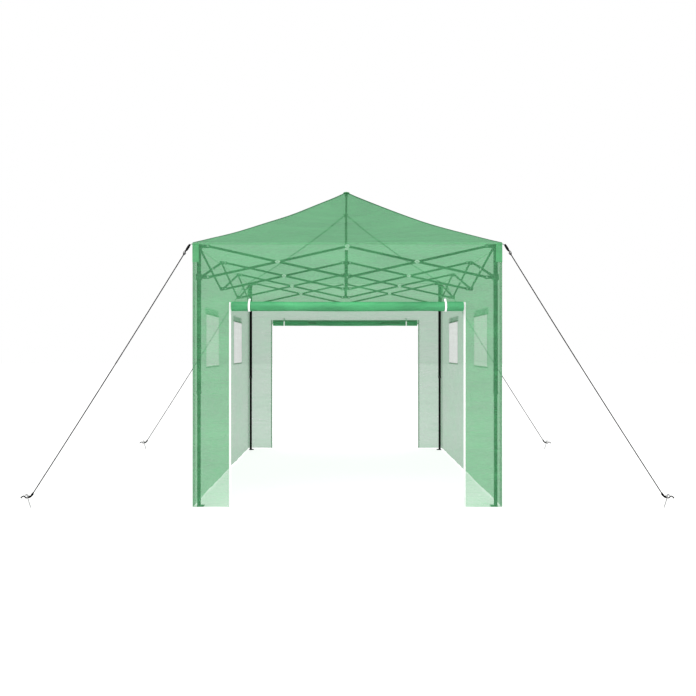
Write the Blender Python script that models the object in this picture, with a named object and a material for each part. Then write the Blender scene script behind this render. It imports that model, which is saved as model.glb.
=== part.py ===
"""Walk-in pop-up greenhouse: a scissor-folding frame on four telescopic legs, two sprung peak
posts, a sheet cover with a doorway at each end, and four guy ropes.

Metres, +Z up, X across, Y along with the front at -Y, origin on the ground at the middle.
"""

import math

import bmesh
import bpy
from mathutils import Matrix, Vector

# ---- driving dimensions -------------------------------------------------------------------
LEG_X = 1.18            # leg centres, half the width
LEG_Y = 1.77            # leg centres, half the length
UNIT = LEG_X            # one scissor unit of the frame, node to node
TOP_Z = 2.07            # upper pivots
LOW_Z = 1.824           # lower pivots, frame open
ARM = 0.036             # node centre to pivot
END_ARM = 2 * ARM       # the same on the end trusses, whose bars are pinned to each other

BAR_THICK = 0.010
BAR_HIGH = 0.018
LAYER = 0.006           # each bar of a crossing pair is this far off the truss plane
LUG_OUT = 0.012         # a lug reaches this far off the truss plane
LUG_HIGH = 0.026
LUG_END = 0.012         # a lug reaches this far past its pivot

LEG_OUT = 0.030         # outer leg tube, square
LEG_IN = 0.025          # inner leg tube, square
LEG_WALL = 0.0015
LEG_CHAMFER = 0.002
OUTER_LOW = 0.90        # lower end of the outer tube
INNER_TOP = 1.05        # upper end of the inner tube
COLLAR = 0.041          # bracket and slider, side to side
COLLAR_LOW = 2.035
COLLAR_TOP = 2.0845
SLIDER_HALF = 0.024     # half the slider's height
SLIDE_GAP = 0.0006
FOOT = (0.052, 0.062, 0.006)
HUB = 0.030             # side hub block

POST_OUT = 0.014        # peak post radii
POST_BORE = 0.0115
POST_IN = 0.009
POST_LOW = 1.812
POST_HIGH = 2.22
POST_HUB = 0.021
ROD_LOW = 2.15
PEAK_Z = 2.722          # top of the peak cap
CAP_RADIUS = 0.016

COVER_X = 1.22          # half width of the cover
COVER_Y = 1.83
SHEET = 0.0008
EAVE_Z = 2.09
RIDGE_Z = 2.738
RIDGE_HALF = UNIT / 2   # the ridge runs between the two peak posts
HIP_SAG = 0.16
PANEL_SAG = 0.05
ROOF_RINGS = 6
ROOF_STEPS = 6          # points along each side of a ring
HEM_Z = 0.008
WALL_TOP = 2.0855
DOOR_HALF = 0.92
ROLL_RADIUS = 0.0385    # the rolled-up door under the header
ROLL_BORE = 0.034
ROLL_Z = 1.586
ROLL_OUT = 0.035        # roll axis, this far outside the wall
ROLL_HALF = 0.9125

ROPE_RADIUS = 0.004
ROPE_POINTS = 40
ROPE_SAG = 0.012
ROPE_TOP = (1.247, 1.80, 2.080)
ROPE_FOOT_X = 2.478
ROPE_FOOT_Z = 0.102
ROPE_FOOT_Y = {-1: -1.86, 1: 1.74}

SPAN = UNIT - 2 * ARM
TILT = math.atan2(TOP_Z - LOW_Z, SPAN)
BAR_LENGTH = math.hypot(TOP_Z - LOW_Z, SPAN)
SIDES = {-1: "left", 1: "right"}
ENDS = {-1: "front", 1: "rear"}


# ---- materials and plain solids -----------------------------------------------------------
def material(name, colour, roughness, metallic=0.0):
    made = bpy.data.materials.new(name)
    made.use_nodes = True
    shader = made.node_tree.nodes["Principled BSDF"]
    shader.inputs["Base Color"].default_value = (*colour, 1)
    shader.inputs["Roughness"].default_value = roughness
    shader.inputs["Metallic"].default_value = metallic
    return made


def mesh_from(fill):
    """A mesh whose bmesh is filled in by the function fill."""
    work = bmesh.new()
    fill(work)
    bmesh.ops.recalc_face_normals(work, faces=work.faces)
    mesh = bpy.data.meshes.new("solid")
    work.to_mesh(mesh)
    work.free()
    return mesh


def prism(outline, low, high, axis="Z"):
    """An outline of (u, v) points pushed from low to high: (x, y) along Z, (x, z) along Y."""
    def place(u, v, w):
        return (u, v, w) if axis == "Z" else (u, w, v)

    def fill(work):
        near = [work.verts.new(place(u, v, low)) for u, v in outline]
        far = [work.verts.new(place(u, v, high)) for u, v in outline]
        work.faces.new(near)
        work.faces.new(far)
        for i in range(len(outline)):
            j = (i + 1) % len(outline)
            work.faces.new((near[i], near[j], far[j], far[i]))

    return mesh_from(fill)


def block(low, high):
    """A box between two corners, given in any order."""
    a = [min(p) for p in zip(low, high)]
    b = [max(p) for p in zip(low, high)]
    return prism([(a[0], a[1]), (b[0], a[1]), (b[0], b[1]), (a[0], b[1])], a[2], b[2])


def square(side, chamfer=0.0):
    """The outline of a square tube, its corners cut by chamfer."""
    half = side / 2
    if not chamfer:
        return [(-half, -half), (half, -half), (half, half), (-half, half)]
    near = half - chamfer
    return [(-near, -half), (near, -half), (half, -near), (half, near),
            (near, half), (-near, half), (-half, near), (-half, -near)]


def circle(radius, sides):
    turns = [2 * math.pi * (i + 0.5) / sides for i in range(sides)]
    return [(radius * math.cos(a), radius * math.sin(a)) for a in turns]


def bar_outline(start, steps=5):
    """A bar with half-round ends, its first pivot at u = start."""
    radius = BAR_HIGH / 2
    turn = [math.pi * i / steps for i in range(steps + 1)]
    end = start + BAR_LENGTH
    right = [(end + radius * math.sin(a), -radius * math.cos(a)) for a in turn]
    left = [(start - radius * math.sin(a), radius * math.cos(a)) for a in turn]
    return right + left


def moved(mesh, offset):
    mesh.transform(Matrix.Translation(Vector(offset)))
    return mesh


def fuse(solids, cuts=()):
    """One mesh: the union of solids less cuts, with exact booleans."""
    base = bpy.data.objects.new("base", solids[0])
    bpy.context.collection.objects.link(base)
    tools = []
    for operation, mesh in [("UNION", m) for m in solids[1:]] + [("DIFFERENCE", m) for m in cuts]:
        tool = bpy.data.objects.new("tool", mesh)
        bpy.context.collection.objects.link(tool)
        tools.append(tool)
        change = base.modifiers.new(operation, "BOOLEAN")
        change.operation = operation
        change.solver = "EXACT"
        change.object = tool
    bpy.context.view_layer.update()
    made = bpy.data.meshes.new_from_object(
        base.evaluated_get(bpy.context.evaluated_depsgraph_get()))
    for used in [base, *tools]:
        bpy.data.objects.remove(used)
    return made


def add_object(name, mesh, finish, origin=(0, 0, 0), round_over=None):
    """A mesh modelled in the row's frame becomes an object whose origin is on its joint."""
    moved(mesh, -Vector(origin))
    mesh.materials.clear()
    mesh.materials.append(finish)
    if round_over:
        mesh.shade_smooth()
        mesh.set_sharp_from_angle(angle=math.radians(round_over))
    made = bpy.data.objects.new(name, mesh)
    made.location = origin
    bpy.context.collection.objects.link(made)
    return made


# ---- scissor trusses ----------------------------------------------------------------------
def trusses():
    """Each truss: its name, first node, direction, units with their names, and end arm length."""
    stations = [-LEG_Y, -LEG_Y + UNIT, LEG_Y - UNIT, LEG_Y]
    arms = [END_ARM, ARM, ARM, END_ARM]
    for name, y, arm in zip(("front", "mid_front", "mid_rear", "rear"), stations, arms):
        yield name, Vector((-LEG_X, y, 0)), "X", ("left", "right"), arm
    for side, name in SIDES.items():
        yield name + "_side", Vector((side * LEG_X, -LEG_Y, 0)), "Y", ("front", "middle", "rear"), ARM


def unit_start(node, axis, index, arm):
    """The first pivots of a unit, on the ground plane. END_ARM trusses meet at their middle."""
    along = Vector((1, 0, 0)) if axis == "X" else Vector((0, 1, 0))
    if arm == END_ARM:
        reach = END_ARM if index == 0 else 0.0
    else:
        reach = ARM
    return node + along * (index * UNIT + reach)


def hinge_place(truss, unit, kind):
    """Where along a bar its own hinge is: 0 at its first pivot, 1 at its last, 0.5 at the crossing.
    The frame hangs from the front peak hub, and each bar is carried by the piece before it."""
    if truss == "mid_front":
        carried_at_end = {("left", "rising"): 1.0, ("right", "falling"): 0.0}
    elif truss == "mid_rear":
        carried_at_end = {("left", "falling"): 0.0, ("right", "rising"): 1.0}
    elif truss.endswith("_side"):
        carried_at_end = {("front", "rising"): 1.0, ("middle", "falling"): 0.0, ("rear", "falling"): 0.0}
    else:
        carried_at_end = {("left", "falling"): 0.0, ("right", "rising"): 1.0}
    return carried_at_end.get((unit, kind), 0.5)


def add_bars(finish):
    """Every scissor bar. A falling bar runs from an upper pivot to the next lower one, a rising
    bar from a lower pivot to the next upper one, in the layer on the other side."""
    outlines = {}
    for place in (0.0, 0.5, 1.0):
        mesh = prism(bar_outline(-place * BAR_LENGTH), -BAR_THICK / 2, BAR_THICK / 2, axis="Y")
        mesh.materials.append(finish)
        mesh.shade_smooth()
        mesh.set_sharp_from_angle(angle=math.radians(40))
        outlines[place] = mesh
    for name, node, axis, units, arm in trusses():
        normal = Vector((0, 1, 0)) if axis == "X" else Vector((1, 0, 0))
        heading = 0.0 if axis == "X" else math.pi / 2
        along = Vector((1, 0, 0)) if axis == "X" else Vector((0, 1, 0))
        for index, unit in enumerate(units):
            start = unit_start(node, axis, index, arm)
            for kind, sign in (("falling", 1), ("rising", -1)):
                place = hinge_place(name, unit, kind)
                high = TOP_Z if kind == "falling" else LOW_Z
                bar = bpy.data.objects.new(f"bar_{name}_{unit}_{kind}", outlines[place])
                bar.location = (start + along * place * SPAN - normal * sign * LAYER
                                + Vector((0, 0, high - sign * place * (TOP_Z - LOW_Z))))
                bar.rotation_euler = (0, sign * TILT, heading)
                bpy.context.collection.objects.link(bar)


def lug(centre, z, direction, arm, layer, inner):
    """A flat lug from a hub's side to just past its pivot, in the layer the bar leaves free.
    direction is (dx, dy); layer is -1 or 1, the side of the truss plane that holds the bar."""
    along = Vector((direction[0], direction[1], 0))
    normal = Vector((abs(direction[1]), abs(direction[0]), 0))
    base = Vector((centre[0], centre[1], z))
    near = base + along * inner
    far = base + along * (arm + LUG_END) - normal * layer * LUG_OUT
    half = Vector((0, 0, LUG_HIGH / 2))
    return block(near - half, far + half)


# ---- legs, sliders and hubs ---------------------------------------------------------------
def corner_arms(side, end, upper):
    """(direction, arm, layer of the bar) for the two arms of a corner bracket or slider."""
    cross_layer = side if upper else -side
    long_layer = end if upper else -end
    return [((-side, 0), END_ARM, cross_layer), ((0, -end), ARM, long_layer)]


def add_legs(steel, plastic):
    inside = LEG_OUT - 2 * LEG_WALL
    for side, across in SIDES.items():
        for end, along in ENDS.items():
            x, y = side * LEG_X, end * LEG_Y
            name = f"{along}_{across}"
            collar = prism(square(COLLAR, LEG_CHAMFER), COLLAR_LOW, COLLAR_TOP)
            tube = prism(square(LEG_OUT, LEG_CHAMFER), OUTER_LOW, COLLAR_TOP - 0.005)
            bore = prism(square(inside), OUTER_LOW - 0.05, COLLAR_LOW)
            arms = [lug((0, 0), TOP_Z, d, arm, layer, 0.01)
                    for d, arm, layer in corner_arms(side, end, True)]
            outer = moved(fuse([tube, collar, *arms], [bore]), (x, y, 0))
            add_object(f"leg_outer_{name}", outer, steel, (x, y - end * ARM, TOP_Z))

            foot_x, foot_y, thick = FOOT
            plate = block((-side * (foot_x - LEG_OUT / 2), -end * (foot_y - LEG_OUT / 2), 0),
                          (side * LEG_OUT / 2, end * LEG_OUT / 2, thick))
            post = prism(square(LEG_IN, LEG_CHAMFER), thick / 2, INNER_TOP)
            hollow = prism(square(LEG_IN - 2 * LEG_WALL), thick * 1.5, INNER_TOP + 0.05)
            inner = moved(fuse([post, plate], [hollow]), (x, y, 0))
            add_object(f"leg_inner_{name}", inner, steel, (x, y, 0))

            body = prism(square(COLLAR + 0.003, LEG_CHAMFER), LOW_Z - SLIDER_HALF, LOW_Z + SLIDER_HALF)
            arms = [lug((0, 0), LOW_Z, d, arm, layer, 0.019)
                    for d, arm, layer in corner_arms(side, end, False)]
            way = prism(square(LEG_OUT + 2 * SLIDE_GAP), LOW_Z - 0.1, LOW_Z + 0.1)
            slider = moved(fuse([body, *arms], [way]), (x, y, 0))
            add_object(f"leg_slider_{name}", slider, plastic, (x, y - end * ARM, LOW_Z))


def add_side_hubs(plastic):
    """The three-way hubs half-way along each side, upper and lower."""
    for side, across in SIDES.items():
        for end, station in ((-1, "mid_front"), (1, "mid_rear")):
            x, y = side * LEG_X, end * UNIT / 2
            for upper, level, z in ((True, "upper", TOP_Z), (False, "lower", LOW_Z)):
                sign = 1 if upper else -1
                core = block((-HUB / 2, -HUB / 2, z - 0.016), (HUB / 2, HUB / 2, z + 0.0145))
                arms = [lug((0, 0), z, (-side, 0), ARM, sign * side, 0.005),
                        lug((0, 0), z, (0, 1), ARM, -sign, 0.005),
                        lug((0, 0), z, (0, -1), ARM, sign, 0.005)]
                hub = moved(fuse([core, *arms]), (x, y, 0))
                pivot = (x - side * ARM, y, z) if end < 0 else (x, y - ARM, z)
                add_object(f"hub_{level}_{station}_{across}", hub, plastic, pivot)


# ---- peak posts ---------------------------------------------------------------------------
def centre_arms(z, upper, inner):
    sign = 1 if upper else -1
    return [lug((0, 0), z, (1, 0), ARM, -sign, inner), lug((0, 0), z, (-1, 0), ARM, sign, inner)]


def add_peak_posts(steel, plastic):
    for end, name in ENDS.items():
        y = end * UNIT / 2
        tube = prism(circle(POST_OUT, 16), POST_LOW, POST_HIGH)
        hub = prism(circle(POST_HUB, 16), TOP_Z - 0.016, TOP_Z + 0.0145)
        bore = prism(circle(POST_BORE, 12), POST_LOW - 0.05, POST_HIGH + 0.05)
        post = fuse([tube, hub, *centre_arms(TOP_Z, True, 0.0125)], [bore])
        add_object(f"peak_post_{name}", moved(post, (0, y, 0)), steel, (-ARM, y, TOP_Z), 40)

        ring = prism(circle(POST_HUB, 16), LOW_Z - 0.010, LOW_Z + 0.016)
        way = prism(circle(POST_OUT + SLIDE_GAP, 16), LOW_Z - 0.1, LOW_Z + 0.1)
        lower = fuse([ring, *centre_arms(LOW_Z, False, 0.016)], [way])
        add_object(f"hub_lower_centre_{name}", moved(lower, (0, y, 0)), plastic, (-ARM, y, LOW_Z), 40)

        rod = prism(circle(POST_IN, 12), ROD_LOW, PEAK_Z - 0.01)
        cap = prism(circle(CAP_RADIUS, 16), PEAK_Z - 0.022, PEAK_Z)
        add_object(f"peak_rod_{name}", moved(fuse([rod, cap]), (0, y, 0)), steel, (0, y, ROD_LOW), 40)


# ---- cover --------------------------------------------------------------------------------
def roof_height(depth, across):
    """Height where depth is 0 at the eave and 1 at the ridge, across is -1 to 1 between hips."""
    dip = depth * (1 - depth)
    return EAVE_Z + (RIDGE_Z - EAVE_Z) * depth - HIP_SAG * dip - PANEL_SAG * dip * (1 - across**2) * 4


def roof_ring(depth):
    """The closed ring of roof points at one depth, over a rectangle that shrinks to the ridge."""
    half_x = COVER_X * (1 - depth)
    half_y = RIDGE_HALF + (COVER_Y - RIDGE_HALF) * (1 - depth)
    corners = [(-half_x, -half_y), (half_x, -half_y), (half_x, half_y), (-half_x, half_y)]
    ring = []
    for i, (x, y) in enumerate(corners):
        far_x, far_y = corners[(i + 1) % 4]
        for step in range(ROOF_STEPS):
            share = step / ROOF_STEPS
            height = roof_height(depth, 2 * share - 1)
            ring.append((x + (far_x - x) * share, y + (far_y - y) * share, height))
    return ring


def roof_mesh():
    """The hipped roof sheet, open at the eave, as one closed thin solid."""
    count = 4 * ROOF_STEPS

    def fill(work):
        skins = []
        for drop in (0.0, SHEET):
            rings = [[work.verts.new((x, y, z - drop)) for x, y, z in roof_ring(i / ROOF_RINGS)]
                     for i in range(ROOF_RINGS)]
            ridge = [work.verts.new((0, y, roof_height(1, 0) - drop))
                     for y in [RIDGE_HALF * (2 * s / ROOF_STEPS - 1) for s in range(ROOF_STEPS + 1)]]
            for inner, outer in zip(rings[1:], rings):
                for i in range(count):
                    j = (i + 1) % count
                    work.faces.new((outer[i], outer[j], inner[j], inner[i]))
            close_ridge(work, rings[-1], ridge)
            skins.append(rings[0])
        for i in range(count):
            j = (i + 1) % count
            work.faces.new((skins[0][i], skins[0][j], skins[1][j], skins[1][i]))

    return mesh_from(fill)


def close_ridge(work, ring, ridge):
    """Joins the last ring to the ridge line: a fan at each end, quads along each side."""
    steps = ROOF_STEPS
    count = len(ring)
    for i in range(steps):
        work.faces.new((ring[i], ring[i + 1], ridge[0]))
        work.faces.new((ring[2 * steps + i], ring[(2 * steps + i + 1) % count], ridge[-1]))
        work.faces.new((ring[steps + i], ring[steps + i + 1], ridge[i + 1], ridge[i]))
        back = (3 * steps + i + 1) % count
        work.faces.new((ring[3 * steps + i], ring[back], ridge[steps - i - 1], ridge[steps - i]))


def wall_mesh():
    """The four walls as one band, with a doorway at each end and the rolled doors over them."""
    shell = block((-COVER_X, -COVER_Y, HEM_Z), (COVER_X, COVER_Y, WALL_TOP))
    rolls = []
    bores = []
    for end in ENDS:
        y_axis = end * (COVER_Y + ROLL_OUT)
        for radius, half, found in ((ROLL_RADIUS, ROLL_HALF, rolls), (ROLL_BORE, 1.0, bores)):
            roll = prism(circle(radius, 12), -half, half)
            roll.transform(Matrix.Rotation(math.pi / 2, 4, "Y"))
            found.append(moved(roll, (0, y_axis, ROLL_Z)))
    room = block((-COVER_X + SHEET, -COVER_Y + SHEET, -1), (COVER_X - SHEET, COVER_Y - SHEET, 3))
    doorway = block((-DOOR_HALF, -3, -1), (DOOR_HALF, 3, ROLL_Z - ROLL_RADIUS / 2))
    hollow = fuse([shell], [room, doorway])
    return fuse([hollow, *rolls], bores)


# ---- guy ropes ----------------------------------------------------------------------------
def rope_route(side, end):
    """A taut rope's centreline from the corner of the roof to its knot, with a slight sag."""
    top = Vector((side * ROPE_TOP[0], end * ROPE_TOP[1], ROPE_TOP[2]))
    foot = Vector((side * ROPE_FOOT_X, ROPE_FOOT_Y[end], ROPE_FOOT_Z))
    steps = [i / (ROPE_POINTS - 1) for i in range(ROPE_POINTS)]
    return [top.lerp(foot, s) - Vector((0, 0, 4 * ROPE_SAG * s * (1 - s))) for s in steps]


def add_ropes(finish):
    for side, across in SIDES.items():
        for end, along in ENDS.items():
            name = f"guy_rope_{along}_{across}"
            line = bpy.data.curves.new(name, "CURVE")
            line.dimensions = "3D"
            line.bevel_depth = ROPE_RADIUS
            line.bevel_resolution = 2
            line.render_resolution_u = 0
            line.use_fill_caps = True
            route = rope_route(side, end)
            spline = line.splines.new("POLY")
            spline.points.add(len(route) - 1)
            for point, place in zip(spline.points, route):
                point.co = (*place, 1)
            line.materials.append(finish)
            bpy.context.collection.objects.link(bpy.data.objects.new(name, line))


def build():
    for old in list(bpy.data.objects):
        bpy.data.objects.remove(old)
    steel = material("frame_steel", (0.03, 0.035, 0.033), 0.45, 0.3)
    plastic = material("hub_plastic", (0.03, 0.032, 0.03), 0.5)
    sheet = material("cover_sheet", (0.33, 0.60, 0.40), 0.5)
    rope = material("guy_rope", (0.02, 0.02, 0.02), 0.85)
    add_bars(steel)
    add_legs(steel, plastic)
    add_side_hubs(plastic)
    add_peak_posts(steel, plastic)
    add_object("cover_roof", roof_mesh(), sheet)
    add_object("cover_walls", wall_mesh(), sheet)
    add_ropes(rope)


build()
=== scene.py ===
"""Looks of the walk-in pop-up greenhouse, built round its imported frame. Metres, +Z up, front at -Y."""

import math

import bmesh
import bpy
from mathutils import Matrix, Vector


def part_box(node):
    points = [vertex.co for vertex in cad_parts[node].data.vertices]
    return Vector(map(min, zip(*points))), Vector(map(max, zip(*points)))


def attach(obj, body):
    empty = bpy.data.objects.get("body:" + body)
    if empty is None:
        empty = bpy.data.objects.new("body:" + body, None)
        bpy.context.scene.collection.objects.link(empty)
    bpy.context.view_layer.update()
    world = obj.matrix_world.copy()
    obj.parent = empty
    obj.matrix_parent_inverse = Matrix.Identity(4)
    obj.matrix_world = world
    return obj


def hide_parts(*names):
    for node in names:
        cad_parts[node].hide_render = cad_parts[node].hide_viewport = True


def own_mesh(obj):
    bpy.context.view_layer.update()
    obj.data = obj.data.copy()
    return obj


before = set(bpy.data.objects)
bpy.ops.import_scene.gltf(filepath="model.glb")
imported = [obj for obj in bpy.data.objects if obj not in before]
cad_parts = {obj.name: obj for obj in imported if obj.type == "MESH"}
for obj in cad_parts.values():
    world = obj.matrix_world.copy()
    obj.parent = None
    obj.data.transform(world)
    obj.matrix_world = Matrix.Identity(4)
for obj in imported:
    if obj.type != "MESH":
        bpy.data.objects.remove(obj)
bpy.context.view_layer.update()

# ---- sizes, from the frame ----------------------------------------------------------------
ROOF_LOW, ROOF_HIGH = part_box("cover_roof")
POST_LOW, POST_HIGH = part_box("peak_post_front")
COVER_X = ROOF_HIGH.x               # half width of the cover
COVER_Y = ROOF_HIGH.y
RIDGE_Z = ROOF_HIGH.z
EAVE_Z = ROOF_LOW.z + 0.0008
WALL_TOP = EAVE_Z - 0.004           # the wall sheets end just under the eave
SEWN_ON = 0.0012                    # how far zips, borders and bindings stand off their sheet
HALF_SHEET = 0.0004                 # half a sheet's thickness
RIDGE_HALF = -(POST_LOW.y + POST_HIGH.y) / 2
LEG_X = 1.18
LEG_Y = 1.77
TOP_Z = 2.07                        # upper and lower bar pivots
LOW_Z = 1.824
ARM = 0.036
HEM_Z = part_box("cover_walls")[0].z
REAR_HEM_Z = 0.016
HEM_LIFT = {"side": 0.0055, "end": 0.0016}
DOOR_HALF = 0.92
DOOR_TOP = 1.567                    # the header's lower edge, behind the rolled door
ZIP_TOP = 1.622
ROLL_Z = 1.586
ROLL_OUT = 0.035
ROLL_RADIUS = 0.0385
ROLL_HALF = 0.9125
ROLL_CORE = 0.010                   # radius of the first turn
ROLL_TURNS = 11
ROLL_SAG = 0.0012
TIE_X = 0.768                       # the door roll's ties
HIP_SAG = 0.16
PANEL_SAG = 0.05
THIRD = COVER_X / 2                 # the roof is cut here, so that it can follow the frame
ROPE_RADIUS = 0.004
ROPE_SAG = 0.012
ROPE_POINTS = 40
ROPE_TOP = (1.247, 1.80, 2.080)
STRAP_SEAM = (0.001, 0.012, 2.0795)  # where its strap is sewn: out past the side, in from the end, up
ROPE_FOOT_X = 2.478
ROPE_FOOT_Z = 0.102
ROPE_FOOT_Y = {-1: -1.86, 1: 1.74}
SIDES = {-1: "left", 1: "right"}
ENDS = {-1: "front", 1: "rear"}
CORNERS = [(f"{along}_{across}", side, end) for side, across in SIDES.items()
           for end, along in ENDS.items()]
WINDOW_Y = 0.86                     # window centres along each side
WINDOW_HALF = 0.34
WINDOW_LOW, WINDOW_HIGH = 1.10, 1.555
PANE_LAP = 0.008                    # mesh under the window's edge
FLAP_PAST = 0.02                    # rolled flap past the window at each end
FLAP_HIGH = 0.062
FLAP_TIE = 0.22                     # the flap's ties, from the window's middle
PATCH_LOW = 1.937                   # lower edge of the corner patches


# ---- node materials -----------------------------------------------------------------------
class Nodes:
    """A material's node tree with short calls for the nodes used here."""

    def __init__(self, name):
        self.material = bpy.data.materials.new(name)
        self.material.use_nodes = True
        self.tree = self.material.node_tree
        self.tree.nodes.clear()
        self.out = self.tree.nodes.new("ShaderNodeOutputMaterial")

    def add(self, kind, links=None, **settings):
        node = self.tree.nodes.new("ShaderNode" + kind)
        for key, value in settings.items():
            setattr(node, key, value)
        for key, value in (links or {}).items():
            if isinstance(value, bpy.types.NodeSocket):
                self.tree.links.new(value, node.inputs[key])
            else:
                node.inputs[key].default_value = value
        return node

    def maths(self, operation, *values):
        node = self.add("Math", dict(enumerate(values)), operation=operation)
        return node.outputs[0]

    def times(self, value, by):
        return self.maths("MULTIPLY", value, by)

    def total(self, value, *others):
        for other in others:
            value = self.maths("ADD", value, other)
        return value

    def place(self):
        return self.add("TexCoord").outputs["Object"]

    def noise(self, vector, scale, detail=2.0, roughness=0.5):
        node = self.add("TexNoise", {"Vector": vector, "Scale": scale, "Detail": detail,
                                     "Roughness": roughness})
        return node.outputs["Fac"]

    def stretch(self, vector, scale):
        return self.add("Mapping", {"Vector": vector, "Scale": scale}).outputs["Vector"]

    def span(self, value, low, high, to_low, to_high):
        """value from low to high becomes to_low to to_high, and stays within them."""
        node = self.add("MapRange", {"Value": value, "From Min": low, "From Max": high,
                                     "To Min": to_low, "To Max": to_high})
        return node.outputs["Result"]

    def blend(self, share, first, second):
        return self.add("Mix", {0: share, 6: first, 7: second}, data_type="RGBA").outputs[2]

    def layer(self, share, under, over):
        return self.add("MixShader", {0: share, 1: under, 2: over}).outputs[0]

    def bump(self, height, strength, distance):
        links = {"Height": height, "Strength": strength, "Distance": distance}
        return self.add("Bump", links).outputs["Normal"]

    def finish(self, shader):
        self.tree.links.new(shader, self.out.inputs["Surface"])
        return self.material

    def skin(self, colour, rough, normal, specular=0.5, metallic=0.0):
        """Ends the material in an opaque surface."""
        shader = self.add("BsdfPrincipled", {"Base Color": colour, "Roughness": rough, "Normal": normal,
                                             "Specular IOR Level": specular, "Metallic": metallic})
        return self.finish(shader.outputs[0])


def cloth_uv(nodes):
    """Where a point lies on the flat cloth, in metres."""
    return nodes.add("UVMap", uv_map="cloth").outputs["UV"]


def threads(nodes, uv, pitch, width):
    """1 on the threads of a square grid of that pitch and 0 between them."""
    parts = nodes.add("SeparateXYZ", {0: uv})
    lines = []
    for axis in (0, 1):
        turn = nodes.maths("FRACT", nodes.maths("DIVIDE", parts.outputs[axis], pitch))
        lines.append(nodes.maths("LESS_THAN", turn, width))
    return nodes.maths("MAXIMUM", *lines)


def woven_sheet(name, colour, cover, clear=(1.0, 1.0, 1.0), pitch=0.011, mottle=0.1):
    """A translucent woven sheet: cover is the share of light that its green tapes stop."""
    n = Nodes(name)
    uv = cloth_uv(n)
    grid = threads(n, uv, pitch, 0.16)
    fleck = n.noise(uv, 170.0, 2.0)
    cloud = n.noise(n.stretch(uv, (0.6, 2.4, 1.0)), 2.6, 4.0, 0.6)
    crease = n.noise(n.stretch(uv, (0.35, 5.0, 1.0)), 3.4, 3.0, 0.55)
    # fold is 1 on thin lines along the creases; the share below adds cover on them, so the creases show
    # darker: painted shade
    fold = n.span(n.maths("ABSOLUTE", n.maths("SUBTRACT", crease, 0.5)), 0.0, 0.02, 1.0, 0.0)
    share = n.total(cover, n.times(grid, 0.05), n.span(fleck, 0.3, 0.7, -0.07, 0.07),
                    n.span(cloud, 0.3, 0.7, -0.03, 0.03), n.times(fold, 0.05))
    pinhole = n.span(n.noise(n.stretch(uv, (0.6, 1.0, 1.0)), 95.0, 1.0), 0.73, 0.77, 0.0, 1.0)
    share = n.times(share, n.maths("SUBTRACT", 1.0, n.times(pinhole, 0.7)))
    dark = tuple(c * (1 - mottle) for c in colour)
    light = tuple(min(1.0, c * (1 + mottle) + 0.008) for c in colour)
    tint = n.blend(n.span(cloud, 0.35, 0.65, 0.0, 1.0), (*dark, 1), (*light, 1))
    weave = n.add("TexWave", {"Vector": uv, "Scale": 260.0, "Distortion": 0.6}, wave_type="BANDS")
    height = n.total(n.times(weave.outputs["Fac"], 0.25), grid, n.times(crease, 9.0))
    normal = n.bump(height, 0.35, 0.0012)
    front = n.add("BsdfDiffuse", {"Color": tint, "Normal": normal}).outputs[0]
    back = n.add("BsdfTranslucent", {"Color": tint, "Normal": normal}).outputs[0]
    body = n.layer(0.5, front, back)
    gloss = n.add("BsdfGlossy", {"Color": (1, 1, 1, 1), "Normal": normal,
                                 "Roughness": n.span(fleck, 0.3, 0.7, 0.24, 0.42)})
    body = n.layer(0.025, body, gloss.outputs[0])
    hole = n.add("BsdfTransparent", {"Color": (*clear, 1)}).outputs[0]
    return n.finish(n.layer(share, hole, body))


def solid_cloth(name, colour, ribs=420.0, rough=0.6, gloss=0.4):
    """Opaque webbing, binding or ribbon with its ribs."""
    n = Nodes(name)
    uv = cloth_uv(n)
    rib = n.add("TexWave", {"Vector": uv, "Scale": ribs, "Distortion": 0.4}, wave_type="BANDS")
    wear = n.noise(uv, 40.0, 4.0)
    light = tuple(min(1.0, c * 1.25 + 0.006) for c in colour)
    tint = n.blend(n.span(wear, 0.35, 0.7, 0.0, 1.0), (*colour, 1), (*light, 1))
    normal = n.bump(rib.outputs["Fac"], 0.6, 0.0006)
    return n.skin(tint, n.span(wear, 0.3, 0.7, rough - 0.08, rough + 0.12), normal, gloss)


def coated_steel(name, colour=(0.0018, 0.0024, 0.0021)):
    """Black powder coat: a fine orange peel, dust and a few rubbed spots."""
    n = Nodes(name)
    place = n.place()
    peel = n.noise(place, 900.0, 2.0)
    dust = n.noise(place, 6.0, 5.0, 0.62)
    rub = n.span(n.noise(place, 38.0, 4.0, 0.7), 0.66, 0.74, 0.0, 1.0)
    tint = n.blend(n.span(dust, 0.35, 0.7, 0.0, 1.0), (*colour, 1), (0.006, 0.0075, 0.0065, 1))
    tint = n.blend(rub, tint, (0.045, 0.048, 0.045, 1))
    rough = n.total(n.span(dust, 0.3, 0.7, 0.34, 0.5), n.times(rub, 0.1))
    return n.skin(tint, rough, n.bump(peel, 0.25, 0.0004), 0.05)


def moulded(name, colour, rough=0.42):
    """Moulded plastic with a faint texture and handling marks."""
    n = Nodes(name)
    place = n.place()
    grain = n.noise(place, 620.0, 2.0)
    cloud = n.noise(place, 22.0, 4.0, 0.6)
    dark = tuple(c * 0.86 for c in colour)
    tint = n.blend(n.span(cloud, 0.35, 0.65, 0.0, 1.0), (*dark, 1), (*colour, 1))
    finish = n.span(cloud, 0.3, 0.7, rough - 0.06, rough + 0.1)
    return n.skin(tint, finish, n.bump(grain, 0.3, 0.0004), 0.35)


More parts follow.
